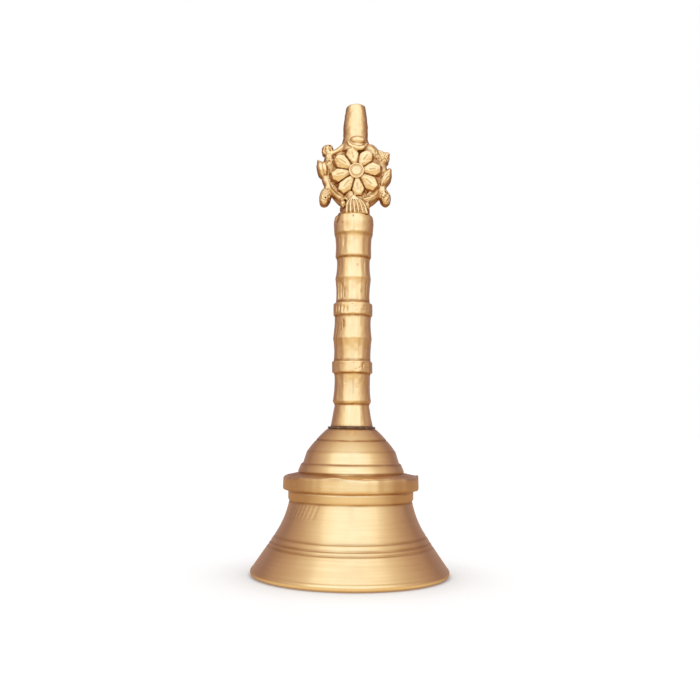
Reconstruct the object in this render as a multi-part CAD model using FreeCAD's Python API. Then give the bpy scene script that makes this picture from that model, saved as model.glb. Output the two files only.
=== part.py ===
"""Hand-held brass temple bell: a turned cup, a cast handle and flower finial, and a clapper on a wire link.

All sizes are in millimetres. The origin is the centre of the mouth plane, +Z runs up the bell's axis to
the spout on top, and the flower faces -Y. Turned pieces are outlines of (radius, height) points.
"""

import FreeCAD, Part
import math
import os

# Heights where the pieces meet
CROWN_TOP_Z = 53.4
HANDLE_FOOT_Z = 54.4
HANDLE_TOP_Z = 135.2
OVERALL_HEIGHT = 178.6

# Bell cup
RIM_INNER_R = 33.6
RIM_OUTER_R = 35.5
LIP_R = 36.8
CEILING_Z = 49.4
CROWN_HOLE_R = 2.7
GROOVE_WIRE_R = 0.8
GROOVE_DEPTH = 0.3
SKIRT_GROOVES = [(30.45, 10.8), (29.5, 12.2), (28.15, 14.35)]
DOME_GROOVES = [(13.35, 49.35)]

# Handle and its two fixings
STUD_R = 2.5
STUD_TOP_Z = 69.9
FOOT_BORE_DEPTH = 16.0
SPIGOT_R = 3.0
SPIGOT_LENGTH = 8.0
TOP_BORE_DEPTH = 8.4
COLLARS = [(74.3, 78.6, 7.65), (96.1, 100.6, 7.5)]
WASHER_R = 9.05

# Fixings under the crown
FLAT_WASHER_R = 5.0
FLAT_WASHER_THICKNESS = 1.0
NUT_ACROSS_FLATS = 8.0
NUT_THICKNESS = 4.0
NUT_CHAMFER_ANGLE = math.radians(30)

# Eye, link and clapper: each ring hangs round the one above with a small even gap
HANG_GAP = 0.35
EYE_RING_R = 3.4
EYE_WIRE_R = 1.3
EYE_Z = 38.5
LINK_WIRE_R = 0.9
LINK_LEG_LENGTH = 3.5
HOOK_WIRE_R = 1.1
ROD_R = 1.5
BALL_R = 6.6
BALL_Z = 10.4
BALL_FLAT_R = 2.6
PEEN_R = 2.3
PEEN_HEIGHT = 1.0

# Finial
STEM_R = 5.95
AXIS_SHIFT_X = 0.3
FLOWER_X = 0.6
FLOWER_Z = 151.6
PETAL_COUNT = 8
PETAL_TURN = 8.0
PETAL_LENGTH = 9.7
PETAL_HALF_WIDTH = 3.2
PETAL_FACE_Y = 6.2
HEART_R = 3.2
HEART_Y = 7.0
WREATH_R = 10.2
WREATH_WIRE_R = 1.6
BACKPLATE_R = 9.4
BACKPLATE_HALF = 2.6
SPOUT_BASE_Z = 160.0
SPOUT_WIDEST_Z = 170.5
SPOUT_WIDEST_R = 4.75
SPOUT_TOP_R = 3.6
# Buds and knobs on the wreath: x, z, half-width, half-height, lean in degrees
LOBES = [
    (-11.0, 161.4, 2.3, 2.3, 0),
    (-12.6, 153.8, 2.4, 4.2, 12),
    (-11.6, 143.8, 2.3, 4.7, -8),
    (11.0, 158.7, 2.6, 2.8, 0),
    (11.8, 150.6, 2.6, 3.9, -20),
    (11.9, 142.9, 2.3, 3.8, 12),
]
LOBE_END_R = 0.7

EYE_BOTTOM_Z = EYE_Z - EYE_RING_R
LINK_BEND_R = EYE_WIRE_R + HANG_GAP + LINK_WIRE_R
LINK_LOW_CENTRE_Z = EYE_BOTTOM_Z - LINK_LEG_LENGTH
HOOK_Z = LINK_LOW_CENTRE_Z - LINK_BEND_R
HOOK_RING_R = LINK_WIRE_R + HANG_GAP + HOOK_WIRE_R
BALL_HALF_LENGTH = math.sqrt(BALL_R**2 - BALL_FLAT_R**2)
BALL_BOTTOM_Z = BALL_Z - BALL_HALF_LENGTH


def vector(x, y, z):
    return FreeCAD.Vector(x, y, z)


def turned(start, steps):
    """Turn a closed outline round Z. A step is (r, z) for a line, or (r, z) via points for an arc."""
    edges = []
    here = vector(start[0], 0, start[1])
    for step in steps + [start]:
        end = vector(step[-2], 0, step[-1])
        if len(step) == 4:
            middle = vector(step[0], 0, step[1])
            edges.append(Part.Arc(here, middle, end).toShape())
        elif here.distanceToPoint(end) > 1e-6:
            edges.append(Part.LineSegment(here, end).toShape())
        here = end
    face = Part.Face(Part.Wire(edges))
    return face.revolve(vector(0, 0, 0), vector(0, 0, 1), 360)


def upright_cylinder(radius, low_z, high_z):
    return Part.makeCylinder(radius, high_z - low_z, vector(0, 0, low_z))


def ring_across_y(ring_r, wire_r, z):
    """A wire ring standing in the XZ plane, with its hole along Y."""
    return Part.makeTorus(ring_r, wire_r, vector(0, 0, z), vector(0, 1, 0))


def bell_cup():
    """The cast and turned cup: skirt, neck band, flange and stepped dome outside, an even wall inside."""
    outside = [
        (RIM_OUTER_R, 0),
        (LIP_R, 1.3, 36.1, 2.6),
        (33.25, 6.7, 30.45, 10.8),
        (28.15, 14.35),
        (24.75, 20.6, 22.9, 26.9),
        (23.3, 27.9),
        (23.35, 30.7),
        (24.4, 30.9),
        (25.2, 31.3, 25.45, 32.2),
        (25.35, 35.2),
        (25.1, 35.9, 24.4, 36.2),
        (20.1, 37.2),
        (18.7, 40.4),
        (17.9, 41.0),
        (16.65, 44.9),
        (16.2, 45.6),
        (13.0, 49.6, 9.5, 53.1),
        (9.1, CROWN_TOP_Z),
        (CROWN_HOLE_R, CROWN_TOP_Z),
    ]
    inside = [
        (CROWN_HOLE_R, CEILING_Z),
        (7.0, CEILING_Z),
        (11.6, 46.2, 14.2, 41.6),
        (16.6, 37.0),
        (19.4, 33.6, 20.2, 29.4),
        (20.2, 26.4),
        (22.3, 19.6, 25.2, 14.2),
        (32.6, 2.4),
    ]
    cup = turned((RIM_INNER_R, 0), outside + inside)
    for radius, z in SKIRT_GROOVES + DOME_GROOVES:
        ring_r = radius + GROOVE_WIRE_R - GROOVE_DEPTH
        cup = cup.cut(Part.makeTorus(ring_r, GROOVE_WIRE_R, vector(0, 0, z)))
    return cup


def seat_washer():
    """The thin blackened ring between the crown and the handle's foot."""
    ring = upright_cylinder(WASHER_R, CROWN_TOP_Z, HANDLE_FOOT_Z)
    return ring.cut(upright_cylinder(CROWN_HOLE_R, CROWN_TOP_Z, HANDLE_FOOT_Z))


def handle_grip():
    """The solid handle: flared foot, step, waists between two collars, soft ridges and a thick shoulder."""
    low_collar, high_collar = COLLARS
    outline = [
        (8.0, HANDLE_FOOT_Z),
        (7.15, 58.6, 6.55, 62.4),
        (7.3, 63.8),
        (6.8, 68.6, 6.9, low_collar[0]),
        (low_collar[2], low_collar[0] + 0.3),
        (low_collar[2], low_collar[1]),
        (7.0, low_collar[1] + 0.4),
        (6.95, 82.6, 7.4, 87.5),
        (6.95, 92.0, 7.0, high_collar[0]),
        (high_collar[2], high_collar[0] + 0.3),
        (high_collar[2], high_collar[1]),
        (6.45, high_collar[1] + 0.7),
        (6.35, 105.0, 6.85, 110.6),
        (6.3, 115.0, 6.4, 118.0),
        (6.87, 119.0),
        (6.75, 122.6, 7.05, 126.5),
        (7.5, 127.8),
        (7.8, 131.7),
        (7.7, 132.9),
        (7.3, 134.4),
        (6.4, HANDLE_TOP_Z),
        (0, HANDLE_TOP_Z),
    ]
    grip = turned((0, HANDLE_FOOT_Z), outline)
    grip = grip.cut(upright_cylinder(STUD_R, HANDLE_FOOT_Z, HANDLE_FOOT_Z + FOOT_BORE_DEPTH))
    return grip.cut(upright_cylinder(SPIGOT_R, HANDLE_TOP_Z - TOP_BORE_DEPTH, HANDLE_TOP_Z))


def petal(index, face_y):
    """One blunt petal, a prism from the middle of the finial out to the face at face_y."""
    outline = [
        (1.0, -1.2),
        (6.6, -PETAL_HALF_WIDTH),
        (PETAL_LENGTH - 0.4, -1.3),
        (PETAL_LENGTH, 0),
        (PETAL_LENGTH - 0.4, 1.3),
        (6.6, PETAL_HALF_WIDTH),
        (1.0, 1.2),
    ]
    points = [vector(along, 0, across) for along, across in outline]
    face = Part.Face(Part.makePolygon(points + points[:1]))
    solid = face.extrude(vector(0, face_y, 0))
    angle = PETAL_TURN + index * 360 / PETAL_COUNT
    solid.rotate(vector(0, 0, 0), vector(0, 1, 0), -angle)
    solid.translate(vector(FLOWER_X, 0, FLOWER_Z))
    return solid


def lobe(x, z, half_width, half_height, lean):
    """One bud or knob of the wreath: a spindle with blunt ends, leaning in the XZ plane."""
    bud = turned((0, -half_height), [
        (LOBE_END_R, -half_height),
        (half_width, 0, LOBE_END_R, half_height),
        (0, half_height),
    ])
    bud.rotate(vector(0, 0, 0), vector(0, 1, 0), lean)
    bud.translate(vector(x, 0, z))
    return bud


def lobe_arm(x, z):
    """The short arm that joins a bud to the wreath."""
    start = vector(FLOWER_X, 0, FLOWER_Z)
    reach = vector(x, 0, z) - start
    return Part.makeCylinder(1.5, reach.Length, start, reach)


def finial():
    """The cast flower ornament, the same on both faces, with a spout on top and a spigot below."""
    disc_start = vector(FLOWER_X, -BACKPLATE_HALF, FLOWER_Z)
    heart_start = vector(FLOWER_X, -HEART_Y, FLOWER_Z)
    across = vector(0, 1, 0)
    pieces = [
        Part.makeCylinder(BACKPLATE_R, 2 * BACKPLATE_HALF, disc_start, across),
        Part.makeCylinder(HEART_R, 2 * HEART_Y, heart_start, across),
        Part.makeTorus(WREATH_R, WREATH_WIRE_R, vector(FLOWER_X, 0, FLOWER_Z), across),
    ]
    for index in range(PETAL_COUNT):
        pieces += [petal(index, -PETAL_FACE_Y), petal(index, PETAL_FACE_Y)]
    for x, z, half_width, half_height, lean in LOBES:
        pieces += [lobe(x, z, half_width, half_height, lean), lobe_arm(x, z)]
    spout = turned((0, SPOUT_BASE_Z), [
        (5.6, SPOUT_BASE_Z),
        (4.4, 165.4, SPOUT_WIDEST_R, SPOUT_WIDEST_Z),
        (SPOUT_TOP_R, OVERALL_HEIGHT - 0.5),
        (SPOUT_TOP_R - 0.5, OVERALL_HEIGHT),
        (0, OVERALL_HEIGHT),
    ])
    spout.translate(vector(AXIS_SHIFT_X, 0, 0))
    stem = upright_cylinder(STEM_R, HANDLE_TOP_Z, 146.0)
    spigot = upright_cylinder(SPIGOT_R, HANDLE_TOP_Z - SPIGOT_LENGTH, HANDLE_TOP_Z + 1)
    return stem.multiFuse(pieces + [spout, spigot]).removeSplitter()


def eye_bolt():
    """The stud through the crown into the handle's foot, with the clapper's eye below."""
    eye_top_z = EYE_Z + EYE_RING_R
    shoulder = Part.makeCone(EYE_WIRE_R, STUD_R, 1.4, vector(0, 0, eye_top_z - 0.4))
    stud = upright_cylinder(STUD_R, eye_top_z + 1.0, STUD_TOP_Z)
    return ring_across_y(EYE_RING_R, EYE_WIRE_R, EYE_Z).multiFuse([shoulder, stud]).removeSplitter()


def crown_washer():
    """The flat washer against the ceiling of the cup."""
    low_z = CEILING_Z - FLAT_WASHER_THICKNESS
    ring = upright_cylinder(FLAT_WASHER_R, low_z, CEILING_Z)
    return ring.cut(upright_cylinder(CROWN_HOLE_R, low_z, CEILING_Z))


def clamp_nut():
    """The hexagon nut on the stud, with its corners turned off at both ends."""
    high_z = CEILING_Z - FLAT_WASHER_THICKNESS
    low_z = high_z - NUT_THICKNESS
    corner_r = NUT_ACROSS_FLATS / 2 / math.cos(math.pi / 6)
    corners = [
        vector(corner_r * math.cos(k * math.pi / 3), corner_r * math.sin(k * math.pi / 3), low_z)
        for k in range(6)
    ]
    hexagon = Part.Face(Part.makePolygon(corners + corners[:1])).extrude(vector(0, 0, NUT_THICKNESS))
    end_r = NUT_ACROSS_FLATS / 2 * 0.96
    slope = (corner_r + 0.1 - end_r) * math.tan(NUT_CHAMFER_ANGLE)
    turned_ends = turned((STUD_R, low_z), [
        (end_r, low_z),
        (corner_r + 0.1, low_z + slope),
        (corner_r + 0.1, high_z - slope),
        (end_r, high_z),
        (STUD_R, high_z),
    ])
    return hexagon.common(turned_ends)


def hanger_link():
    """A closed oval of wire in the YZ plane: its top bend hangs over the eye's wire."""
    pieces = []
    for side in (-1, 1):
        leg_foot = vector(0, side * LINK_BEND_R, LINK_LOW_CENTRE_Z)
        pieces.append(Part.makeCylinder(LINK_WIRE_R, LINK_LEG_LENGTH, leg_foot))
    for centre_z, outward in ((EYE_BOTTOM_Z, 1), (LINK_LOW_CENTRE_Z, -1)):
        section = Part.Face(Part.Wire(Part.makeCircle(
            LINK_WIRE_R, vector(0, LINK_BEND_R, centre_z), vector(0, 0, 1))))
        bend = section.revolve(vector(0, 0, centre_z), vector(outward, 0, 0), 180)
        pieces.append(bend)
    return pieces[0].multiFuse(pieces[1:]).removeSplitter()


def clapper_rod():
    """The clapper's stem: a closed hook above, and an end peened over under the ball."""
    hook = ring_across_y(HOOK_RING_R, HOOK_WIRE_R, HOOK_Z)
    hook_foot_z = HOOK_Z - HOOK_RING_R
    peen_z = BALL_BOTTOM_Z - PEEN_HEIGHT
    stem = turned((0, hook_foot_z), [
        (HOOK_WIRE_R * 0.8, hook_foot_z),
        (ROD_R, hook_foot_z - 1.6),
        (ROD_R, BALL_BOTTOM_Z),
        (PEEN_R, BALL_BOTTOM_Z),
        (PEEN_R * 0.8, peen_z + PEEN_HEIGHT * 0.3, PEEN_R * 0.4, peen_z),
        (0, peen_z),
    ])
    return hook.fuse(stem).removeSplitter()


def clapper_ball():
    """The striking ball, drilled for the stem and faced flat round the hole."""
    ball = turned((ROD_R, BALL_BOTTOM_Z), [
        (BALL_FLAT_R, BALL_BOTTOM_Z),
        (BALL_R, BALL_Z, BALL_FLAT_R, BALL_Z + BALL_HALF_LENGTH),
        (ROD_R, BALL_Z + BALL_HALF_LENGTH),
    ])
    return ball


PIECES = [
    bell_cup,
    seat_washer,
    handle_grip,
    finial,
    eye_bolt,
    crown_washer,
    clamp_nut,
    hanger_link,
    clapper_rod,
    clapper_ball,
]

os.makedirs("parts", exist_ok=True)
for make in PIECES:
    shape = make()
    print(make.__name__, shape.ShapeType, len(shape.Solids), shape.isValid(), round(shape.Volume, 1))
    shape.exportStep("parts/" + make.__name__ + ".step")
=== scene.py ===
"""Looks of the hand-held brass temple bell: turned cup, filed handle, sculpted finial and hanging clapper.

Sizes are written in millimetres and turned into metres as each mesh is made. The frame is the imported
model's own: origin at the centre of the mouth plane, +Z up the axis, the flower facing -Y.
"""

import math
import random

import bpy
import numpy as np
import openvdb
from mathutils import Matrix, Vector, noise


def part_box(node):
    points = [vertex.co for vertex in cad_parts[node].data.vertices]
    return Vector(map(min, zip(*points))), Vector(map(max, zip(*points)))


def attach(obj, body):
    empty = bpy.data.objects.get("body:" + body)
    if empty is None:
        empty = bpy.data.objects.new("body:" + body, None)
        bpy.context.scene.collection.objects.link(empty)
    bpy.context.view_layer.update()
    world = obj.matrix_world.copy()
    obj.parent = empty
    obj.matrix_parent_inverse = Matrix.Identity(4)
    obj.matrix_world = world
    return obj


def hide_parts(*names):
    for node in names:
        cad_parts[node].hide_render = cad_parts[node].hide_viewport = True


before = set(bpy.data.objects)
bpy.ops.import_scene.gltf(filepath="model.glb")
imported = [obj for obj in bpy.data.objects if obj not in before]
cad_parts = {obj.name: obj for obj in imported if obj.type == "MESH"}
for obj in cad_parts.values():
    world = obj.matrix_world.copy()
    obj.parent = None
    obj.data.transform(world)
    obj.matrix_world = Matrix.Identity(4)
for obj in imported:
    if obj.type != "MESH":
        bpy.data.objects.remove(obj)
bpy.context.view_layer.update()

MM = 0.001
WAVE_SEED = 11
# An outline that closes on the axis stops this short of it
AXIS_R = 0.05

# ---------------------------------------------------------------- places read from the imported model

CUP_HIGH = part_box("bell_cup")[1] / MM
WASHER_LOW, WASHER_HIGH = (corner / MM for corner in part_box("seat_washer"))
GRIP_LOW, GRIP_HIGH = (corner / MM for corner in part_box("handle_grip"))
FINIAL_LOW, FINIAL_HIGH = (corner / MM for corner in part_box("finial"))
BOLT_LOW, BOLT_HIGH = (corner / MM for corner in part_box("eye_bolt"))
FLAT_LOW, FLAT_HIGH = (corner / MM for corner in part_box("crown_washer"))
NUT_LOW, NUT_HIGH = (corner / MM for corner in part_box("clamp_nut"))
LINK_LOW, LINK_HIGH = (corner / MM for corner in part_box("hanger_link"))
ROD_LOW, ROD_HIGH = (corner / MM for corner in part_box("clapper_rod"))
BALL_LOW, BALL_HIGH = (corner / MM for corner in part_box("clapper_ball"))

CROWN_Z = CUP_HIGH.z
FOOT_Z = GRIP_LOW.z
SHOULDER_Z = GRIP_HIGH.z
TOP_Z = FINIAL_HIGH.z
STUD_R = BOLT_HIGH.y


# ---------------------------------------------------------------- mesh helpers

def trace(start, steps, spacing):
    """Points along an outline. A step is (r, z) for a line, or (r, z) via points for an arc."""
    points = [np.array(start, float)]
    for step in steps:
        here = points[-1]
        end = np.array(step[-2:], float)
        if len(step) == 2:
            count = max(1, round(np.linalg.norm(end - here) / spacing))
            points += [here + (end - here) * k / count for k in range(1, count + 1)]
        else:
            points += arc_points(here, np.array(step[:2], float), end, spacing)
    return np.array(points)


def arc_points(start, middle, end, spacing):
    """Points on the circle through three points, after the start and up to the end."""
    matrix = 2 * np.array([middle - start, end - start])
    right = np.array([middle @ middle - start @ start, end @ end - start @ start])
    centre = np.linalg.solve(matrix, right)
    angles = [math.atan2(*(p - centre)[::-1]) for p in (start, middle, end)]
    sweep = (angles[2] - angles[0]) % math.tau
    if (angles[1] - angles[0]) % math.tau > sweep:
        sweep -= math.tau
    radius = np.linalg.norm(start - centre)
    count = max(2, round(abs(sweep) * radius / spacing))
    turns = angles[0] + sweep * np.arange(1, count + 1) / count
    return [centre + radius * np.array([math.cos(t), math.sin(t)]) for t in turns]


def eased(points, passes):
    """Round an outline's corners a little by averaging neighbours. Its two ends stay."""
    for _ in range(passes):
        inner = (points[:-2] + 2 * points[1:-1] + points[2:]) / 4
        points = np.vstack([points[:1], inner, points[-1:]])
    return points


def new_object(name, vertices, faces, body, material, dirt_and_shade=None):
    """A smooth mesh piece from vertices in millimetres, riding on a body.

    dirt_and_shade, 0 to 1 for each vertex, says how brown it is: stains, the rough inside of the cup, and
    painted shade in grooves, corners and recesses and on the finial's sides.
    """
    mesh = bpy.data.meshes.new(name)
    mesh.from_pydata((np.asarray(vertices) * MM).tolist(), [], [list(map(int, f)) for f in faces])
    mesh.polygons.foreach_set("use_smooth", [True] * len(mesh.polygons))
    mesh.materials.append(material)
    mesh.update()
    if dirt_and_shade is not None:
        mark_dirt_and_shade(mesh, dirt_and_shade)
    piece = bpy.data.objects.new(name, mesh)
    bpy.context.scene.collection.objects.link(piece)
    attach(piece, body)
    return piece


def mark_dirt_and_shade(mesh, dirt_and_shade):
    layer = mesh.attributes.new("dirt_and_shade", "FLOAT", "POINT")
    layer.data.foreach_set("value", np.asarray(dirt_and_shade, np.float32))


def lathe(outline, segments, shape=None, closed=True):
    """Turn an outline round Z. shape(angle, points) may move one spoke's (r, z) points."""
    rings = len(outline)
    spokes = []
    for k in range(segments):
        angle = math.tau * k / segments
        spoke = shape(angle, outline.copy()) if shape else outline
        x = spoke[:, 0] * math.cos(angle)
        y = spoke[:, 0] * math.sin(angle)
        spokes.append(np.column_stack([x, y, spoke[:, 1]]))
    vertices = np.concatenate(spokes)
    faces = []
    last = rings if closed else rings - 1
    for k in range(segments):
        here = k * rings
        there = (k + 1) % segments * rings
        for j in range(last):
            up = (j + 1) % rings
            faces.append((here + j, there + j, there + up, here + up))
    return vertices, faces


def tube(path, radius, sides, closed=False):
    """A round wire along a list of 3-D points, with flat ends unless it is closed."""
    points = [Vector(p) for p in path]
    count = len(points)
    normal = None
    vertices = []
    for k, point in enumerate(points):
        before = points[k - 1] if k or closed else point
        after = points[(k + 1) % count] if k < count - 1 or closed else point
        along = (after - before).normalized()
        if normal is None:
            normal = along.orthogonal().normalized()
        normal = (normal - along * normal.dot(along)).normalized()
        side = along.cross(normal)
        width = radius(k / max(1, count - 1)) if callable(radius) else radius
        for s in range(sides):
            turn = math.tau * s / sides
            vertices.append(point + (normal * math.cos(turn) + side * math.sin(turn)) * width)
    faces = []
    for k in range(count if closed else count - 1):
        for s in range(sides):
            a = k * sides + s
            b = k * sides + (s + 1) % sides
            c = (k + 1) % count * sides + (s + 1) % sides
            d = (k + 1) % count * sides + s
            faces.append((a, b, c, d))
    if not closed:
        faces.append(tuple(range(sides))[::-1])
        faces.append(tuple((count - 1) * sides + s for s in range(sides)))
    return np.array([tuple(v) for v in vertices]), faces


def joined(*parts):
    """Several (vertices, faces) as one."""
    vertices = []
    faces = []
    for part_vertices, part_faces in parts:
        start = sum(len(v) for v in vertices)
        vertices.append(np.asarray(part_vertices))
        faces += [tuple(start + i for i in face) for face in part_faces]
    return np.concatenate(vertices), faces


def painted_shade_rings(vertices, lines, draw_width):
    """How brown each vertex is from uneven rings of painted shade: (radius, z, strength)."""
    wide = np.hypot(vertices[:, 0], vertices[:, 1])
    dirt = np.zeros(len(vertices))
    for radius, z, strength in lines:
        away = np.hypot(wide - radius, vertices[:, 2] - z)
        near = np.nonzero(away < draw_width * 2.2)[0]
        uneven = [0.85 + 0.45 * ripple(*(vertices[k, :2] / radius * 3.5), z) for k in near]
        fade = np.exp(-((away[near] / draw_width) ** 2))
        dirt[near] = np.maximum(dirt[near], strength * np.array(uneven) * fade)
    return np.clip(dirt, 0, 1)


def stains(vertices, marks):
    """How dirty each vertex is from dark marks: (degrees, z, reach round, reach up, strength)."""
    around = np.arctan2(vertices[:, 1], vertices[:, 0])
    wide = np.hypot(vertices[:, 0], vertices[:, 1])
    dirt = np.zeros(len(vertices))
    for degrees, z, reach_round, reach_up, strength in marks:
        across = turned_by(around, math.radians(degrees)) * wide / reach_round
        up = np.maximum(np.abs(vertices[:, 2] - z) - reach_up, 0) / 0.35
        dirt = np.maximum(dirt, strength * np.exp(-(across**2) - up**2))
    return dirt


def turned_by(angle, other):
    """The smallest turn from one angle to another."""
    return (angle - other + math.pi) % math.tau - math.pi


def ripple(*place):
    """Smooth noise from -1 to 1 at a place."""
    return noise.noise(Vector(place))


# ---------------------------------------------------------------- materials

def node(tree, kind, **settings):
    made = tree.nodes.new(kind)
    for key, value in settings.items():
        setattr(made, key, value)
    return made


def arithmetic(tree, operation, a, b=None):
    """A Math node. Each input is a socket or a number."""
    made = node(tree, "ShaderNodeMath", operation=operation)
    for index, value in enumerate((a, b)):
        if value is None:
            continue
        if isinstance(value, (int, float)):
            made.inputs[index].default_value = value
        else:
            tree.links.new(value, made.inputs[index])
    return made.outputs[0]


def grain(tree, vector, scale, detail=2.0, roughness=0.5):
    """A noise texture's value."""
    made = node(tree, "ShaderNodeTexNoise")
    made.inputs["Scale"].default_value = scale
    made.inputs["Detail"].default_value = detail
    made.inputs["Roughness"].default_value = roughness
    tree.links.new(vector, made.inputs["Vector"])
    return made.outputs["Fac"]


def stretched(tree, low, high, value, to_low, to_high):
    """Map a value's range onto another, clamped."""
    made = node(tree, "ShaderNodeMapRange")
    for name, number in zip(("From Min", "From Max", "To Min", "To Max"), (low, high, to_low, to_high)):
        made.inputs[name].default_value = number
    tree.links.new(value, made.inputs["Value"])
    return made.outputs["Result"]


def blended(tree, factor, first, second):
    """A colour mix. Each colour is a socket or a tuple."""
    made = node(tree, "ShaderNodeMix", data_type="RGBA")
    tree.links.new(factor, made.inputs["Factor"])
    for socket, value in ((made.inputs[6], first), (made.inputs[7], second)):
        if isinstance(value, tuple):
            socket.default_value = (*value, 1)
        else:
            tree.links.new(value, socket)
    return made.outputs[2]


def bumped(tree, height, distance, normal=None):
    made = node(tree, "ShaderNodeBump")
    made.inputs["Distance"].default_value = distance
    tree.links.new(height, made.inputs["Height"])
    if normal is not None:
        tree.links.new(normal, made.inputs["Normal"])
    return made.outputs["Normal"]


def new_material(name):
    material = bpy.data.materials.new(name)
    material.use_nodes = True
    tree = material.node_tree
    shader = tree.nodes["Principled BSDF"]
    return material, tree, shader


def turned_direction(tree):
    """Coordinates that follow a lathe: slow round the axis, and along the outline in the third place."""
    place = node(tree, "ShaderNodeTexCoord").outputs["Object"]
    parts = node(tree, "ShaderNodeSeparateXYZ")
    tree.links.new(place, parts.inputs[0])
    x, y, z = parts.outputs
    square = arithmetic(tree, "ADD", arithmetic(tree, "MULTIPLY", x, x), arithmetic(tree, "MULTIPLY", y, y))
    radius = arithmetic(tree, "MAXIMUM", arithmetic(tree, "SQRT", square), 1e-5)
    along = arithmetic(tree, "SUBTRACT", z, arithmetic(tree, "MULTIPLY", radius, 0.6))
    return place, arithmetic(tree, "DIVIDE", x, radius), arithmetic(tree, "DIVIDE", y, radius), z, along


def combined(tree, *values):
    made = node(tree, "ShaderNodeCombineXYZ")
    for index, value in enumerate(values):
        tree.links.new(value, made.inputs[index])
    return made.outputs[0]


# Brown of old brass in its hollows, used also for painted shade in hollows, grooves, corners and on the
# finial's sides
OXIDE_SHADE_BROWN = (0.34, 0.115, 0.018)


# How closely the fine and the wide lines of the surface follow each other, for each way of working it
TURNED_FINE, TURNED_WIDE = 5200, 900
FILED_FINE_ROUND, FILED_FINE_UP = 42, 110
FILED_WIDE_ROUND, FILED_WIDE_UP = 9, 90
CAST_FINE, CAST_WIDE = 2600, 420
# How far, in metres, a hollow's walls may be apart for it to be browned, as old-brass oxide and painted shade
HOLLOW_REACH = 0.0016


def brass(name, direction, light, deep, roughness, aniso, brush, hollow_oxide_shade, shelter=0.80):
    """Polished brass. direction is turned (lines round the axis), filed (lines along it) or cast.

    hollow_oxide_shade is how brown the hollows are, as old-brass oxide and painted shade, and shelter how
    open a surface may be, by ambient occlusion, and still brown.
    """
    material, tree, shader = new_material(name)
    place, across_x, across_y, z, along = turned_direction(tree)
    if direction == "turned":
        fine = combined(tree, across_x, across_y, arithmetic(tree, "MULTIPLY", along, TURNED_FINE))
        wide = combined(tree, across_x, across_y, arithmetic(tree, "MULTIPLY", along, TURNED_WIDE))
    elif direction == "filed":
        many_x = arithmetic(tree, "MULTIPLY", across_x, FILED_FINE_ROUND)
        many_y = arithmetic(tree, "MULTIPLY", across_y, FILED_FINE_ROUND)
        fine = combined(tree, many_x, many_y, arithmetic(tree, "MULTIPLY", z, FILED_FINE_UP))
        few_x = arithmetic(tree, "MULTIPLY", across_x, FILED_WIDE_ROUND)
        few_y = arithmetic(tree, "MULTIPLY", across_y, FILED_WIDE_ROUND)
        wide = combined(tree, few_x, few_y, arithmetic(tree, "MULTIPLY", z, FILED_WIDE_UP))
    else:
        fine = wide = place
    fine_scale, wide_scale = (CAST_FINE, CAST_WIDE) if direction == "cast" else (1.0, 1.0)
    fine_lines = grain(tree, fine, fine_scale, 3.0, 0.6)
    wide_lines = grain(tree, wide, wide_scale, 2.0)
    cloud = grain(tree, place, 70, 3.0)
    specks = grain(tree, place, 1500, 2.0, 0.7)

    # Painted shade and old-brass oxide: hollows that ambient occlusion finds are browned towards the brown
    # above
    hollow = node(tree, "ShaderNodeAmbientOcclusion", samples=8)
    hollow.inputs["Distance"].default_value = HOLLOW_REACH
    open_air = stretched(tree, 0.15, shelter, hollow.outputs["AO"], 1.0, 0.0)
    # The per-vertex brown: stains and painted shade
    dirt = node(tree, "ShaderNodeAttribute", attribute_name="dirt_and_shade").outputs["Fac"]
    oxide_and_shade = arithmetic(tree, "MAXIMUM", arithmetic(tree, "MULTIPLY", open_air, hollow_oxide_shade), dirt)
    clouded = blended(tree, stretched(tree, 0.35, 0.68, cloud, 0.0, 0.55), light, deep)
    lined = blended(tree, stretched(tree, 0.30, 0.72, wide_lines, 0.0, 0.6), clouded, deep)
    colour = blended(tree, oxide_and_shade, lined, OXIDE_SHADE_BROWN)
    tree.links.new(colour, shader.inputs["Base Color"])

    rough = arithmetic(tree, "ADD", stretched(tree, 0.25, 0.75, wide_lines, -0.05, 0.06), roughness)
    rough = arithmetic(tree, "ADD", rough, stretched(tree, 0.3, 0.7, cloud, -0.02, 0.03))
    rough = arithmetic(tree, "ADD", rough, arithmetic(tree, "MULTIPLY", oxide_and_shade, 0.25))
    tree.links.new(rough, shader.inputs["Roughness"])

    surface = bumped(tree, fine_lines, brush)
    surface = bumped(tree, wide_lines, brush * 1.6, surface)
    surface = bumped(tree, specks, brush * 0.5, surface)
    tree.links.new(surface, shader.inputs["Normal"])
    shader.inputs["Metallic"].default_value = 1.0
    shader.inputs["Specular IOR Level"].default_value = 0.5
    if aniso:
        shader.inputs["Anisotropic"].default_value = aniso
        shader.inputs["Anisotropic Rotation"].default_value = 0.25 if direction == "turned" else 0.0
        tangent = node(tree, "ShaderNodeTangent", direction_type="RADIAL", axis="Z")
        tree.links.new(tangent.outputs[0], shader.inputs["Tangent"])
    return material


def steel(name, colour, dull, roughness):
    """Plated or drawn steel with fine scratches and a few dull patches."""
    material, tree, shader = new_material(name)
    place = node(tree, "ShaderNodeTexCoord").outputs["Object"]
    patches = grain(tree, place, 260, 4.0, 0.6)
    scratches = grain(tree, place, 3200, 2.0, 0.7)
    mixed = blended(tree, stretched(tree, 0.42, 0.66, patches, 0.0, 1.0), colour, dull)
    tree.links.new(mixed, shader.inputs["Base Color"])
    rough = arithmetic(tree, "ADD", stretched(tree, 0.3, 0.7, patches, -0.06, 0.12), roughness)
    tree.links.new(rough, shader.inputs["Roughness"])
    tree.links.new(bumped(tree, scratches, 0.00001), shader.inputs["Normal"])
    shader.inputs["Metallic"].default_value = 1.0
    return material


# Painted shade: the seat washer's colours stand in for the shaded seam between the cup and the handle
SEAM_SHADE_BLACK = (0.10, 0.045, 0.022)
SEAM_SHADE_BROWN = (0.24, 0.13, 0.06)


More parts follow.
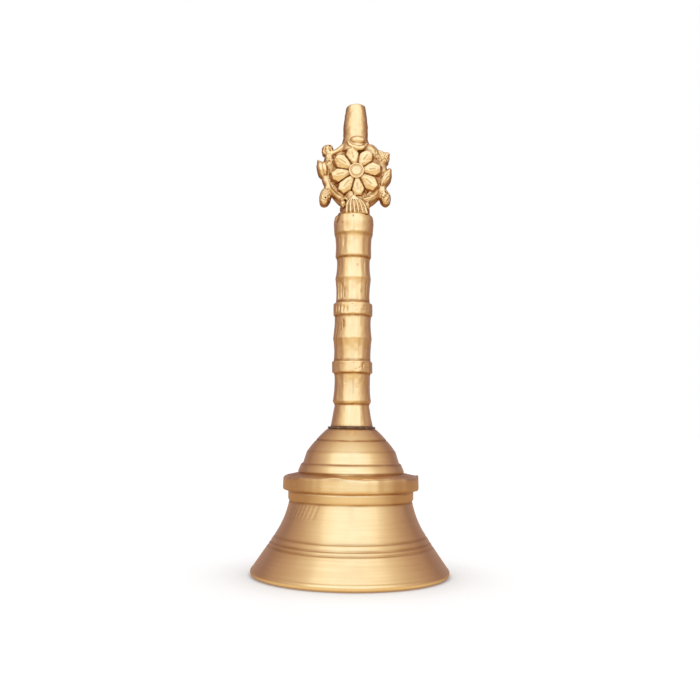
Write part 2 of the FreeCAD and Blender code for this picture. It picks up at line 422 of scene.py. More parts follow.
def seam_shade_dark(name):
    """A thin washer coloured near-black and dark brown in blotches, as painted shade of the dark seam under
    the handle.
    """
    material, tree, shader = new_material(name)
    place = node(tree, "ShaderNodeTexCoord").outputs["Object"]
    blotches = grain(tree, place, 500, 4.0, 0.65)
    mixed = blended(tree, stretched(tree, 0.48, 0.7, blotches, 0.0, 1.0), SEAM_SHADE_BLACK, SEAM_SHADE_BROWN)
    tree.links.new(mixed, shader.inputs["Base Color"])
    tree.links.new(stretched(tree, 0.3, 0.7, blotches, 0.75, 0.5), shader.inputs["Roughness"])
    tree.links.new(bumped(tree, blotches, 0.00006), shader.inputs["Normal"])
    return material


LIGHT_BRASS = (0.95, 0.71, 0.39)
DEEP_BRASS = (0.84, 0.57, 0.28)
CLAPPER_LIGHT = (0.86, 0.62, 0.33)
CLAPPER_DEEP = (0.62, 0.40, 0.19)
PLATE_BRIGHT = (0.62, 0.61, 0.58)
PLATE_DULL = (0.36, 0.34, 0.31)
WIRE_BRIGHT = (0.50, 0.48, 0.45)
WIRE_DULL = (0.26, 0.22, 0.19)

cup_brass = brass("cup_brass", "turned", LIGHT_BRASS, DEEP_BRASS, 0.21, 0.45, 0.000008, 0.8)
handle_brass = brass("handle_brass", "filed", LIGHT_BRASS, DEEP_BRASS, 0.21, 0.3, 0.000016, 0.8)
finial_brass = brass("finial_brass", "cast", LIGHT_BRASS, DEEP_BRASS, 0.22, 0.0, 0.000010, 1.0, 1.0)
clapper_brass = brass("clapper_brass", "turned", CLAPPER_LIGHT, CLAPPER_DEEP, 0.33, 0.3, 0.00002, 0.8)
plated_steel = steel("plated_steel", PLATE_BRIGHT, PLATE_DULL, 0.32)
drawn_wire = steel("drawn_wire", WIRE_BRIGHT, WIRE_DULL, 0.38)
washer_painted_shade = seam_shade_dark("washer_painted_shade")


# ---------------------------------------------------------------- bell cup

# Cut rings as (radius, z, depth, width): three on the skirt, one on the dome, one in each inner corner
CUP_GROOVES = [(30.45, 10.8, 0.36, 0.26), (29.5, 12.2, 0.36, 0.26), (28.15, 14.35, 0.30, 0.24),
               (13.35, 49.35, 0.28, 0.26), (22.95, 27.1, 0.20, 0.28), (23.4, 30.75, 0.22, 0.35),
               (20.0, 37.3, 0.45, 0.45)]
# Painted shade in the rings and corners, under the flange and across its top: (radius, z, strength)
CUP_PAINTED_SHADE = [(30.3, 10.8, 0.55), (29.3, 12.2, 0.55), (28.0, 14.35, 0.5), (13.2, 49.3, 0.8), (16.4, 45.2, 0.3),
            (18.4, 40.4, 0.7), (19.8, 37.3, 1.0), (20.6, 36.95, 1.0), (21.5, 36.8, 0.9), (22.4, 36.6, 0.8),
            (23.4, 36.4, 0.7), (23.5, 30.8, 0.75), (23.9, 30.9, 0.9),
            (22.9, 27.0, 0.7), (9.3, 53.3, 0.9), (25.1, 36.1, 0.45), (24.9, 31.0, 0.6)]
INSIDE_DIRT = 0.5
# Chatter of the turning tool on the waist: angle of the first mark and step in degrees, low z, high z
CHATTER = (-153, 4.8, 21.4, 27.0)
CHATTER_MARKS = 7
CHATTER_DEPTH, CHATTER_WIDTH = 0.15, 0.48
CHATTER_LEAN = -0.075
WAIST_R = 23.0
# Which way a scribed ring is cut, as shares of its depth: inwards and down
GROOVE_IN, GROOVE_DOWN = 0.82, 0.57
CUP_OUTSIDE = [
    (36.8, 1.3, 36.1, 2.6),
    (33.25, 6.7, 30.45, 10.8),
    (28.15, 14.35),
    (24.75, 20.6, 22.9, 26.9),
    (23.3, 27.9),
    (23.35, 30.7),
    (24.4, 30.9),
    (25.2, 31.3, 25.45, 32.2),
    (25.35, 35.2),
    (25.1, 35.9, 24.4, 36.2),
    (20.1, 37.2),
    (18.7, 40.4),
    (17.9, 41.0),
    (16.65, 44.9),
    (16.2, 45.6),
    (13.0, 49.6, 9.5, 53.1),
    (9.1, CROWN_Z),
]
CUP_INSIDE = [
    (7.0, 49.4),
    (11.6, 46.2, 14.2, 41.6),
    (16.6, 37.0),
    (19.4, 33.6, 20.2, 29.4),
    (20.2, 26.4),
    (22.3, 19.6, 25.2, 14.2),
    (32.6, 2.4),
    (33.6, 0.0),
]
CUP_SEGMENTS = 240
CROWN_HOLE_R = 2.7
CEILING_Z = 49.4
RIM_OUTER_R = 35.5
FLANGE_LOW_Z = 30.7
FLANGE_HIGH_Z = 37.2


def cut_groove(points, radius, z, depth, width):
    """Press a round groove into an outline near a point on it."""
    away = np.hypot(points[:, 0] - radius, points[:, 1] - z)
    amount = depth * np.exp(-((away / width) ** 2))
    points[:, 0] -= amount * GROOVE_IN
    points[:, 1] -= amount * GROOVE_DOWN
    return points


def cup_shape(angle, points):
    """The small unevenness of a cast cup turned by hand: a wavy flange, a soft lip, long polishing waves."""
    r, z = points[:, 0], points[:, 1]
    c, s = math.cos(angle), math.sin(angle)
    outer = np.clip((r - 24.0) / 1.2, 0, 1)
    flange = outer * ((z > FLANGE_LOW_Z - 0.2) & (z < FLANGE_HIGH_Z))
    low_edge = np.clip((33.2 - z) / 1.4, 0, 1) * flange
    high_edge = np.clip((z - 34.4) / 1.4, 0, 1) * flange
    points[:, 1] += low_edge * (0.80 * ripple(c * 2.2, s * 2.2, 3.1) + 0.35 * ripple(c * 5, s * 5, 5.0))
    points[:, 1] += high_edge * (0.95 * ripple(c * 2.0, s * 2.0, 8.4) + 0.45 * ripple(c * 5.5, s * 5.5, 1.0))
    points[:, 0] += flange * (0.32 * ripple(c * 2.4, s * 2.4, 6.2) + 0.22 * ripple(c * 8, s * 8, 2.2) - 0.26)
    lip = np.clip((3.2 - z) / 2.0, 0, 1) * (r > 35.0)
    points[:, 0] += lip * (0.10 * ripple(c * 3, s * 3, 9.7) - 0.10)
    first, step, low, high = CHATTER
    waist = (r > 22.0) * np.clip(np.minimum(z - low, high - z) / 0.9, 0, 1)
    for k in range(CHATTER_MARKS):
        lean = CHATTER_LEAN * (z - low) / (high - low)
        across = turned_by(angle, math.radians(first + step * k)) * WAIST_R + lean * WAIST_R
        points[:, 0] -= waist * CHATTER_DEPTH * np.exp(-((across / CHATTER_WIDTH) ** 2))
    wall = np.array([ripple(c * 1.6, s * 1.6, height * 0.05) for height in z])
    fine = np.array([ripple(c * 5.0, s * 5.0, height * 0.10) for height in z])
    points[:, 0] += (0.09 * wall + 0.045 * fine) * (r > 9.2)
    return points


def make_bell_cup():
    outside = trace((RIM_OUTER_R, 0.0), CUP_OUTSIDE, 0.22)
    for radius, z, depth, width in CUP_GROOVES:
        outside = cut_groove(outside, radius, z, depth, width)
    outside = eased(outside, 1)
    crown = trace(outside[-1], [(CROWN_HOLE_R, CROWN_Z), (CROWN_HOLE_R, CEILING_Z)], 1.2)
    inside = eased(trace(crown[-1], CUP_INSIDE, 1.3), 2)
    outline = np.vstack([outside, crown[1:], inside[1:]])
    vertices, faces = lathe(outline, CUP_SEGMENTS, cup_shape)
    rough_cast = np.arange(len(outline)) >= len(outside) + len(crown) - 2
    # Painted shade along the rings and corners, and the rough inside browned
    dirt = np.maximum(painted_shade_rings(vertices, CUP_PAINTED_SHADE, 0.5), INSIDE_DIRT * np.tile(rough_cast, CUP_SEGMENTS))
    piece = new_object("bell_cup_turned", vertices, faces, "bell", cup_brass, dirt)
    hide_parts("bell_cup")


make_bell_cup()


# ---------------------------------------------------------------- seat washer

def make_seat_washer():
    low, high = WASHER_LOW.z + 0.02, WASHER_HIGH.z - 0.02
    outline = trace((CROWN_HOLE_R, low), [
        (WASHER_HIGH.x - 0.3, low),
        (WASHER_HIGH.x - 0.05, (low + high) / 2, WASHER_HIGH.x - 0.35, high),
        (CROWN_HOLE_R, high),
    ], 0.25)

    def squeezed(angle, points):
        edge = points[:, 0] > 7.5
        points[:, 0] += edge * 0.10 * (ripple(math.cos(angle) * 3, math.sin(angle) * 3, 2.2) - 0.6)
        return points

    vertices, faces = lathe(outline, 160, squeezed)
    piece = new_object("seat_washer_black", vertices, faces, "bell", washer_painted_shade)
    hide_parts("seat_washer")


make_seat_washer()


# ---------------------------------------------------------------- handle

HANDLE_OUTSIDE = [
    (7.15, 58.6, 6.55, 62.4),
    (7.3, 63.8),
    (6.8, 68.6, 6.9, 74.3),
    (7.65, 74.6),
    (7.65, 78.6),
    (7.0, 79.0),
    (6.95, 82.6, 7.4, 87.5),
    (6.95, 92.0, 7.0, 96.1),
    (7.5, 96.4),
    (7.5, 100.6),
    (6.45, 101.3),
    (6.35, 105.0, 6.85, 110.6),
    (6.3, 115.0, 6.4, 118.0),
    (6.87, 119.0),
    (6.75, 122.6, 7.05, 126.5),
    (7.5, 127.8),
    (7.8, 131.7),
    (7.7, 132.9),
    (7.3, 134.4),
    (6.4, SHOULDER_Z),
]
# Painted shade beside each lip and collar: (radius, z, strength)
HANDLE_PAINTED_SHADE = [(7.9, 54.6, 0.5), (6.7, 62.7, 0.9), (6.95, 74.15, 0.9), (7.05, 79.25, 0.8), (7.0, 95.9, 0.9),
               (6.5, 101.55, 0.9), (6.45, 118.3, 1.0), (7.15, 127.2, 0.45)]
HANDLE_SEGMENTS = 180
FOOT_R = 8.0
SPIGOT_R = 3.0
SPIGOT_FLOOR_Z = 126.8
STUD_CEILING_Z = 70.4
# The lengths of handle that were each filed on their own, from the foot up
FILED_BANDS = [54.4, 63.6, 74.3, 79.0, 87.5, 96.1, 101.2, 110.6, 118.6, 127.4, 136.0]
# File grooves, most of them on the front left: angle in degrees, low z, high z, depth
FILE_GROOVES = [
    (-151, 101.6, 110.2, 0.42),
    (-141, 101.4, 109.8, 0.46),
    (-132, 101.8, 108.6, 0.40),
    (-123, 102.2, 107.0, 0.24),
    (-143, 96.6, 100.4, 0.32),
    (-131, 96.8, 100.2, 0.28),
    (-120, 96.7, 100.0, 0.20),
    (-108, 96.9, 99.6, 0.14),
    (-121, 90.6, 94.6, 0.24),
    (-129, 89.6, 93.4, 0.18),
    (-148, 83.0, 94.0, 0.16),
    (-152, 112.0, 118.0, 0.14),
    (-138, 120.0, 126.6, 0.12),
    (-122, 121.6, 126.0, 0.09),
    (-108, 120.2, 124.4, 0.07),
    (-86, 65.2, 73.4, 0.10),
    (-40, 103.0, 109.4, 0.16),
    (-52, 111.4, 117.0, 0.12),
    (-58, 75.2, 78.4, 0.16),
]
FILE_WIDTH = 0.34
GRIP_R = 7.0
CHIP_DEGREES = -152
PIT_COUNT = 110
# Dark marks: angle in degrees, z, reach round, reach up, strength
HANDLE_STAINS = [
    (-152, 132.8, 0.9, 0.8, 1.0),
    (-92, 133.4, 0.3, 0.1, 0.9),
    (-124, 131.2, 0.4, 0.1, 0.5),
    (-121, 92.8, 0.35, 1.2, 0.7),
    (-130, 91.4, 0.35, 1.0, 0.6),
    (-40, 131.8, 0.5, 0.3, 0.4),
    (-75, 115.0, 0.5, 0.2, 0.3),
    (-62, 105.2, 0.35, 0.3, 0.35),
    (-86, 69.4, 0.28, 2.6, 0.28),
]


def facet_tables():
    """For each filed band, the flats left by the file: (angle, how far each one cuts in)."""
    draw = random.Random(WAVE_SEED)
    tables = []
    for _ in FILED_BANDS[:-1]:
        count = draw.randint(9, 13)
        turn = draw.random() * math.tau
        angles = [turn + math.tau * (k + draw.uniform(-0.3, 0.3)) / count for k in range(count)]
        tables.append([(angle, draw.uniform(0.0, 0.17)) for angle in angles])
    return tables


def pit_list():
    """Casting pits, thick on the collars and thin elsewhere: angle, z, radius, depth."""
    draw = random.Random(WAVE_SEED + 1)
    pits = []
    for k in range(PIT_COUNT):
        z = draw.uniform(74.8, 78.4) if k % 3 == 0 else draw.uniform(96.6, 100.4)
        if k % 3 == 2:
            z = draw.uniform(56.0, 134.0)
        pits.append((draw.uniform(-math.pi, math.pi), z, draw.uniform(0.16, 0.36), draw.uniform(0.05, 0.13)))
    return pits


FACETS = facet_tables()
PITS = pit_list()


def handle_shape(angle, points):
    r, z = points[:, 0].copy(), points[:, 1].copy()
    c, s = math.cos(angle), math.sin(angle)
    outside = r > 6.0
    cut = np.zeros(len(r))
    for low, high, table in zip(FILED_BANDS, FILED_BANDS[1:], FACETS):
        inside = outside & (z >= low) & (z < high)
        if not inside.any():
            continue
        near = [(math.cos(turned_by(angle, a)), d) for a, d in table if abs(turned_by(angle, a)) < 0.6]
        flats = [(GRIP_R - d) / cosine for cosine, d in near]
        depth = max(0.0, GRIP_R - min(flats, default=GRIP_R))
        fade = np.clip(np.minimum(z - low, high - z) / 0.9, 0.25, 1)
        cut = np.where(inside, depth * fade, cut)
    for degrees, low, high, depth in FILE_GROOVES:
        lean = 0.05 * (z - (low + high) / 2) / (high - low)
        across = np.array([turned_by(angle, math.radians(degrees) + t) for t in lean]) * GRIP_R
        length = np.clip(np.minimum(z - low, high - z) / 1.2, 0, 1)
        cut += outside * depth * length * np.exp(-((across / FILE_WIDTH) ** 2))
    for pit_angle, pit_z, radius, depth in PITS:
        across = turned_by(angle, pit_angle) * GRIP_R
        if abs(across) < 1.2:
            away = (across**2 + (z - pit_z) ** 2) / radius**2
            cut += outside * depth * np.exp(-away)
    sway = np.array([ripple(c * 1.8, s * 1.8, height * 0.16) for height in z])
    dents = np.array([ripple(c * 4.5, s * 4.5, height * 0.42) for height in z])
    chip = math.exp(-((turned_by(angle, math.radians(CHIP_DEGREES)) / 0.20) ** 2))
    shoulder = np.clip((z - 130.6) / 2.2, 0, 1) * outside
    points[:, 0] = r - cut + outside * (0.11 * sway + 0.06 * dents - 0.03) - shoulder * chip * 0.95
    ring = outside & (z > FOOT_Z + 2) & (z < SHOULDER_Z - 2)
    points[:, 1] += ring * 0.16 * ripple(c * 2.2, s * 2.2, 4.4)
    return points


def make_handle():
    outside = eased(trace((FOOT_R, FOOT_Z), HANDLE_OUTSIDE, 0.25), 1)
    top = trace(outside[-1], [
        (SPIGOT_R, SHOULDER_Z),
        (SPIGOT_R, SPIGOT_FLOOR_Z),
        (AXIS_R, SPIGOT_FLOOR_Z),
    ], 1.2)
    foot = trace((AXIS_R, STUD_CEILING_Z), [
        (STUD_R, STUD_CEILING_Z),
        (STUD_R, FOOT_Z),
        (FOOT_R, FOOT_Z),
    ], 1.2)
    outline = np.vstack([outside, top[1:], foot[:-1]])
    vertices, faces = lathe(outline, HANDLE_SEGMENTS, handle_shape)
    strokes = []
    for degrees, low, high, depth in FILE_GROOVES:
        strokes.append((degrees, (low + high) / 2, 0.3, (high - low) / 2 - 1, depth))
    # Painted shade beside the lips and collars, with dark marks along the file grooves and stains
    dirt = np.maximum(painted_shade_rings(vertices, HANDLE_PAINTED_SHADE, 0.42), stains(vertices, HANDLE_STAINS + strokes))
    piece = new_object("handle_grip_filed", vertices, faces, "bell", handle_brass, dirt)
    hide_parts("handle_grip")


make_handle()


# ---------------------------------------------------------------- finial, modelled like clay

# The finial is a distance field in millimetres on a grid of its front half: x across, f forward (-Y)
# and z up. Shapes are pressed onto it or carved out of it, and the back half mirrors the front.
VOXEL = 0.22
CLAY_X = np.arange(FINIAL_LOW.x - 0.6, FINIAL_HIGH.x + 0.6, VOXEL, dtype=np.float32)
CLAY_F = np.arange(0.0, -FINIAL_LOW.y + 0.6, VOXEL, dtype=np.float32)
CLAY_Z = np.arange(SHOULDER_Z - 0.6, TOP_Z + 0.6, VOXEL, dtype=np.float32)
CLAY_AXES = (CLAY_X, CLAY_F, CLAY_Z)
clay = np.full((len(CLAY_X), len(CLAY_F), len(CLAY_Z)), 9.0, np.float32)


def smooth_join(a, b, blend):
    """The nearer of two fields, with the crease between them filled over a blend length."""
    share = np.clip(0.5 + 0.5 * (b - a) / blend, 0, 1)
    return b + (a - b) * share - blend * share * (1 - share)


def press(shape, centre, reach, blend=0.25, carve=False):
    """Join a shape to the clay, or carve it out, within a box of a reach round its centre."""
    cuts = []
    for axis, middle in zip(CLAY_AXES, centre):
        first, last = np.searchsorted(axis, (middle - reach, middle + reach))
        cuts.append(slice(first, last))
    if any(cut.start >= cut.stop for cut in cuts):
        return
    sides = [axis[cut] for axis, cut in zip(CLAY_AXES, cuts)]
    x, f, z = np.meshgrid(*sides, indexing="ij", sparse=True)
    distance = shape(x, f, z)
    part = clay[tuple(cuts)]
    if carve:
        clay[tuple(cuts)] = -smooth_join(-part, distance, blend)
    else:
        clay[tuple(cuts)] = smooth_join(part, distance, blend)


def press_lump(centre, radii, lean=0.0, blend=0.25, carve=False):
    """An egg-shaped lump. lean turns it in the XZ plane, in degrees clockwise."""
    c, s = math.cos(math.radians(lean)), math.sin(math.radians(lean))

    def egg(x, f, z):
        across = (x - centre[0]) * c - (z - centre[2]) * s
        up = (x - centre[0]) * s + (z - centre[2]) * c
        forward = f - centre[1]
        length = np.sqrt((across / radii[0]) ** 2 + (forward / radii[1]) ** 2 + (up / radii[2]) ** 2)
        slope = np.sqrt((across / radii[0] ** 2) ** 2 + (forward / radii[1] ** 2) ** 2
                        + (up / radii[2] ** 2) ** 2)
        return length * (length - 1) / np.maximum(slope, 1e-4)

    press(egg, centre, max(radii) + 1.2, blend, carve)


def press_strand(path, widths, blend=0.2, carve=False):
    """A strand through points (x, f, z), smoothed by a curve and tapering between widths along it."""
    points = curve_through([Vector(p) for p in path], 5)
    for k in range(len(points) - 1):
        start, end = points[k], points[k + 1]
        span = end - start
        low = np.interp(k / (len(points) - 1), np.linspace(0, 1, len(widths)), widths)
        high = np.interp((k + 1) / (len(points) - 1), np.linspace(0, 1, len(widths)), widths)

        def rod(x, f, z):
            dx, df, dz = x - start.x, f - start.y, z - start.z
            along = np.clip((dx * span.x + df * span.y + dz * span.z) / span.length_squared, 0, 1)
            away = (dx - along * span.x) ** 2 + (df - along * span.y) ** 2 + (dz - along * span.z) ** 2
            return np.sqrt(away) - (low + (high - low) * along)

        press(rod, (start + end) / 2, span.length / 2 + max(widths) + 0.9, blend, carve)


def curve_through(points, steps):
    """Points on a smooth curve through the given ones."""
    ends = [points[0] * 2 - points[1]] + points + [points[-1] * 2 - points[-2]]
    smooth = []
    for a, b, c, d in zip(ends, ends[1:], ends[2:], ends[3:]):
        for k in range(steps):
            t = k / steps
            smooth.append(0.5 * (2 * b + (c - a) * t + (2 * a - 5 * b + 4 * c - d) * t**2
                                 + (3 * b - a - 3 * c + d) * t**3))
    return smooth + [points[-1]]


# Stem and spout
STEM_X = 0.4
STEM_R = 5.7
SPOUT_X = 0.3
# Half-width of the spout at each height, from the flower's back up to the cut end
SPOUT_OUTLINE = [(159.0, 6.3), (161.5, 5.95), (163.0, 5.35), (165.7, 4.7), (168.0, 4.75),
                 (170.3, 4.8), (174.2, 4.3), (178.0, 3.72), (180.0, 3.45)]
SPOUT_SQUARENESS = 2.12


def model_stem():
    def stem(x, f, z):
        width = STEM_R - 0.35 * np.exp(-(((z - 138.6) / 1.3) ** 2))
        wall = np.sqrt(((x - STEM_X)) ** 2 + (f * 1.04) ** 2) - width
        return np.maximum(wall, z - 143.5)

    press(stem, (STEM_X, 0, 139), 9.0)

    def foot(x, f, z):
        return np.maximum(np.sqrt((x * 0.99) ** 2 + f**2) - 6.1, np.abs(z - 134.9) - 0.9)

    press(foot, (0, 0, 135), 8.0, 0.3)


def model_spout():
    heights, widths = zip(*SPOUT_OUTLINE)

    def spout(x, f, z):
        width = np.interp(z, heights, widths).astype(np.float32)
        power = SPOUT_SQUARENESS
        round_square = (np.abs(x - SPOUT_X) ** power + np.abs(f) ** power) ** (1 / power)
        wall = round_square - width
        end = z - (TOP_Z - 0.05) + 0.10 * np.maximum(SPOUT_X - x, 0) ** 1.3
        return -smooth_join(-wall, -np.maximum(end, 159.5 - z), 0.55)

    press(spout, (SPOUT_X, 0, 169), 12.0, 0.5)


# Flower: the petals' tips and the notches between them, as (angle in degrees, distance) from its centre
FLOWER_X, FLOWER_Z = 0.8, 151.1
PETAL_TIPS = [(6, 9.5), (56, 9.4), (104, 9.4), (146, 9.9), (192, 9.9), (234, 10.2), (274, 9.8), (318, 10.1)]
PETAL_NOTCHES = [(-15, 7.5), (33, 7.3), (82, 7.4), (125, 7.8), (171, 7.6), (214, 8.1), (256, 7.6), (296, 7.6)]
PETAL_FACE_F = 6.7
PETAL_GAP = 0.15
# The petals' ends slope outwards behind their faces
PETAL_BEVEL = 0.26
PETAL_BEVEL_F = 6.2
PETAL_BACK_F = 2.0
TIP_SPREAD = 9
HEART_R = 3.05
BACKPLATE_R = 10.6
HEART_F = 7.0


def flower_place(x, z, degrees):
    """Distance along and across a direction from the flower's centre."""
    c, s = math.cos(math.radians(degrees)), math.sin(math.radians(degrees))
    return (x - FLOWER_X) * c + (z - FLOWER_Z) * s, (z - FLOWER_Z) * c - (x - FLOWER_X) * s


def edge_line(x, z, start, end):
    """Signed distance to a line on the flower's face, positive to its right."""
    dx, dz = end[0] - start[0], end[1] - start[1]
    return ((x - start[0]) * dz - (z - start[1]) * dx) / math.hypot(dx, dz)


def face_point(degrees, distance):
    c, s = math.cos(math.radians(degrees)), math.sin(math.radians(degrees))
    return FLOWER_X + distance * c, FLOWER_Z + distance * s


def model_petal(index):
    angle, tip = PETAL_TIPS[index]
    right_angle, right_r = PETAL_NOTCHES[index]
    left_angle, left_r = PETAL_NOTCHES[(index + 1) % len(PETAL_NOTCHES)]
    middle = (FLOWER_X, FLOWER_Z)
    right, left = face_point(right_angle, right_r), face_point(left_angle, left_r)
    right_end, left_end = face_point(angle - TIP_SPREAD, tip), face_point(angle + TIP_SPREAD, tip)

    def petal(x, f, z):
        along, across = flower_place(x, z, angle)
        sides = np.maximum(edge_line(x, z, middle, right), edge_line(x, z, left, middle)) + PETAL_GAP
        tips = np.maximum(edge_line(x, z, right, right_end), edge_line(x, z, left_end, left))
        bevel = PETAL_BEVEL * np.maximum(PETAL_BEVEL_F - f, 0)
        tips = np.maximum(tips, along - tip) + 0.35 - bevel
        outline = -smooth_join(-sides, -tips, 0.25)
        slope = 0.36 * np.abs(across) + 0.05 * np.maximum(along - 7.0, 0) ** 2
        slope = slope + 0.06 * np.maximum(5.4 - along, 0) ** 2
        face = f - PETAL_FACE_F + slope
        chase = 0.50 * np.exp(-((across / 0.27) ** 2)) * np.clip((along - 4.2) / 0.9, 0, 1)
        face = face + chase * np.clip((tip - 1.5 - along) / 0.9, 0, 1)
        wall = -smooth_join(-outline, -face, 0.30)
        return np.maximum(wall, PETAL_BACK_F - f)

    press(petal, (*face_point(angle, 5.6)[:1], 4.6, face_point(angle, 5.6)[1]), 6.6, 0.12)


def model_flower():
    def backplate(x, f, z):
        wide = np.sqrt((x - FLOWER_X) ** 2 + (z - FLOWER_Z) ** 2)
        bowl = 5.3 - 2.3 * np.clip((wide - 6.0) / 3.4, 0, 1)
        return -smooth_join(-(wide - BACKPLATE_R), -(f - bowl), 0.9)

    press(backplate, (FLOWER_X, 0, FLOWER_Z), BACKPLATE_R + 1.2, 0.6)
    for index in range(len(PETAL_TIPS)):
        model_petal(index)

    def heart(x, f, z):
        wide = np.sqrt((x - FLOWER_X) ** 2 + (z - FLOWER_Z) ** 2)
        dish = HEART_F - 0.15 - 0.42 * np.exp(-(((wide - 2.1) / 0.26) ** 2)) - 0.10 * (wide / HEART_R) ** 4
        return -smooth_join(-(wide - HEART_R), -(f - dish), 0.4)

    press(heart, (FLOWER_X, 5.5, FLOWER_Z), 4.6, 0.1)


# Vine wreath, leaves, buds and knobs, all as (x, f, z)
def model_wreath():
    left_vine = [(-8.6, 0.8, 158.9), (-10.0, 0.6, 156.6), (-10.4, 0.6, 152.8), (-10.8, 0.8, 149.2),
                 (-9.1, 1.4, 146.2), (-7.0, 1.8, 143.4), (-4.4, 2.6, 140.6)]
    right_vine = [(6.2, 1.6, 161.2), (8.4, 1.2, 158.6), (10.2, 0.8, 155.4), (11.2, 0.6, 150.8),
                  (10.6, 0.8, 146.2), (8.6, 1.5, 143.4), (6.4, 2.2, 141.4), (4.4, 2.7, 140.0)]
    press_strand(left_vine, [1.5, 1.6, 1.5, 1.5, 1.4], 0.7)
    press_strand(right_vine, [1.7, 1.7, 1.6, 1.5, 1.4], 0.7)
    press_strand([(-3.6, 2.6, 161.8), (-6.0, 2.3, 160.2), (-8.4, 1.9, 159.2), (-9.8, 1.5, 160.2)],
                 [1.35, 1.0, 0.95, 1.1], 0.3)
    press_strand([(-9.9, 2.4, 148.8), (-8.1, 3.0, 145.9), (-5.8, 3.6, 143.2), (-3.9, 3.8, 141.6)],
                 [0.45, 1.0, 0.9, 0.5], 0.15)
    press_strand([(-9.3, 3.2, 147.6), (-7.4, 4.0, 145.0), (-5.2, 4.5, 142.8)], [0.12, 0.2, 0.12], 0.1, True)
    press_strand([(-9.9, 1.8, 158.4), (-9.6, 1.9, 156.0), (-9.8, 1.6, 153.4)], [1.2, 1.3, 1.0], 0.7)
    press_strand([(5.6, 2.7, 161.0), (8.0, 2.6, 158.2), (10.4, 1.9, 155.4)], [1.2, 1.1, 0.9], 0.7)
    curl = [(5.0, 3.8, 142.4), (7.2, 3.8, 143.9), (8.6, 3.3, 144.0), (8.0, 3.4, 142.7), (6.2, 3.8, 142.2)]
    press_strand(curl, [0.5, 0.75, 0.7, 0.55, 0.3], 0.12)
    press_strand([(3.2, 4.4, 140.6), (6.0, 3.6, 141.3), (8.6, 2.9, 143.4), (10.2, 2.3, 145.8)],
                 [0.5, 0.7, 0.7, 0.5], 0.15)
    press_strand([(9.6, 1.9, 146.4), (9.3, 2.5, 148.4), (9.6, 2.7, 150.6)], [0.7, 0.8, 0.5], 0.2)


def model_left_buds():
    press_lump((-10.4, 0.8, 160.6), (2.3, 2.2, 2.2), 0, 0.4)
    press_lump((-11.6, 1.2, 159.8), (1.1, 1.5, 1.3), 0, 0.25)
    press_lump((-9.5, 1.7, 161.5), (1.1, 1.2, 1.1), 0, 0.25)
    press_lump((-12.8, 1.4, 152.9), (1.7, 2.3, 3.4), -14, 0.3)
    press_lump((-11.4, 1.9, 152.9), (1.5, 2.2, 3.0), -10, 0.12)
    press_lump((-13.8, 1.1, 155.2), (0.7, 1.2, 1.6), -10, 0.3)
    outer_fold = [(-13.5, 3.4, 155.2), (-12.6, 3.8, 153.0), (-11.8, 3.6, 150.6)]
    inner_fold = [(-12.3, 3.9, 155.4), (-11.5, 4.2, 153.4), (-11.3, 4.0, 151.4)]
    press_strand(outer_fold, [0.14, 0.24, 0.16], 0.1, True)
    press_strand(inner_fold, [0.12, 0.18, 0.12], 0.1, True)
    press_lump((-11.1, 1.1, 142.2), (2.3, 2.2, 3.6), 10, 0.5)
    press_lump((-11.6, 1.3, 140.4), (1.75, 1.8, 1.8), 0, 0.4)
    press_lump((-9.9, 1.3, 145.4), (1.7, 1.8, 2.4), 20, 0.5)


def model_right_buds():
    press_lump((11.4, 0.9, 157.9), (2.2, 2.2, 2.3), 20, 0.4)
    press_lump((10.1, 1.2, 159.7), (1.4, 1.6, 0.95), 20, 0.25)
    press_lump((12.6, 1.2, 158.9), (1.0, 1.5, 1.1), 0, 0.25)
    press_lump((12.2, 1.4, 156.4), (1.1, 1.5, 1.0), 0, 0.25)
    press_lump((11.8, 1.6, 149.6), (2.35, 2.3, 3.7), 28, 0.3)
    press_lump((13.2, 1.5, 151.9), (1.1, 1.6, 1.8), 20, 0.2)
    for rise, depth in ((0.0, 0.22), (1.5, 0.20), (-1.6, 0.20)):
        fold = [(10.1, 3.4, 147.9 + rise), (11.5, 4.0, 149.2 + rise), (13.2, 3.4, 151.3 + rise)]
        press_strand(fold, [depth * 0.6, depth, depth * 0.7], 0.12, True)
    press_lump((10.6, 2.1, 147.4), (1.1, 1.6, 1.6), 20, 0.2)
    press_lump((11.9, 1.1, 142.1), (2.2, 2.2, 3.2), -12, 0.45)
    press_lump((12.3, 1.2, 140.9), (1.6, 1.7, 1.8), 0, 0.35)
    press_lump((10.9, 1.2, 144.9), (1.5, 1.8, 1.8), 0, 0.5)


# Knobs and lobes stippled with a punch: x, z, how far the stipple spreads, how many marks
STIPPLED = [(-10.5, 160.6, 1.8, 26), (-11.1, 142.4, 2.5, 52), (11.6, 157.9, 1.8, 24), (11.8, 142.2, 2.3, 46),
            (8.3, 158.2, 1.5, 18), (-9.9, 156.4, 1.1, 12)]


def stipple():
    draw = random.Random(WAVE_SEED + 2)
    for x, z, spread, count in STIPPLED:
        for _ in range(count):
            mark_x = x + draw.uniform(-0.8, 0.8) * spread
            mark_z = z + draw.uniform(-1.15, 1.15) * spread
            column = clay[np.searchsorted(CLAY_X, mark_x), :, np.searchsorted(CLAY_Z, mark_z)]
            inside = np.nonzero(column < 0)[0]
            if len(inside):
                surface = CLAY_F[inside[-1]]
                size = draw.uniform(0.20, 0.36)
                press_lump((mark_x, surface + 0.16, mark_z), (size, size * 1.1, size), 0, 0.12, True)


